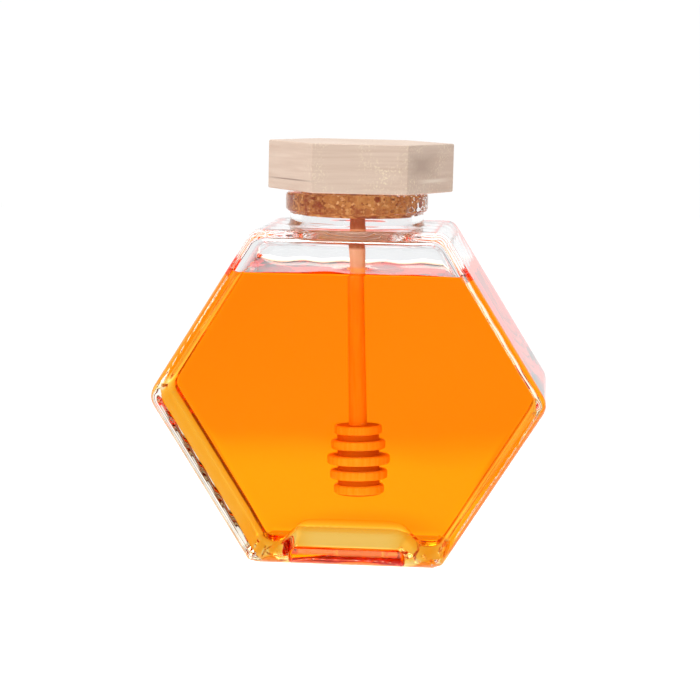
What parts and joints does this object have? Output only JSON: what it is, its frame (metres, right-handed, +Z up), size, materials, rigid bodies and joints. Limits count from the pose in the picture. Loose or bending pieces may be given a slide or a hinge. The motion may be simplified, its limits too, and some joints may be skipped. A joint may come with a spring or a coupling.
{
  "type": "hexagonal honey bottle",
  "caption": "Flat hexagonal glass honey bottle standing on one flat, filled with amber honey, with a cork, a hexagonal wooden lid and a wooden dipper inside.",
  "frame": {"origin": "centre of the base, on the surface the bottle stands on", "axes": "+X across the width of the hexagon, +Y through the bottle from its front face to its back face, +Z up through the neck and lid"},
  "size_m": [0.1178, 0.053, 0.1266],
  "materials": {
    "clear_glass": "clear polished soda-lime glass",
    "honey": "clear amber honey",
    "cork": "pressed cork granules",
    "lid_wood": "pale sanded bare wood",
    "dipper_wood": "turned bare wood"
  },
  "bodies": {
    "root": {"jar": "clear_glass", "honey": "honey", "cork": "cork", "lid": "lid_wood", "dipper": "dipper_wood"}
  },
  "joints": []
}
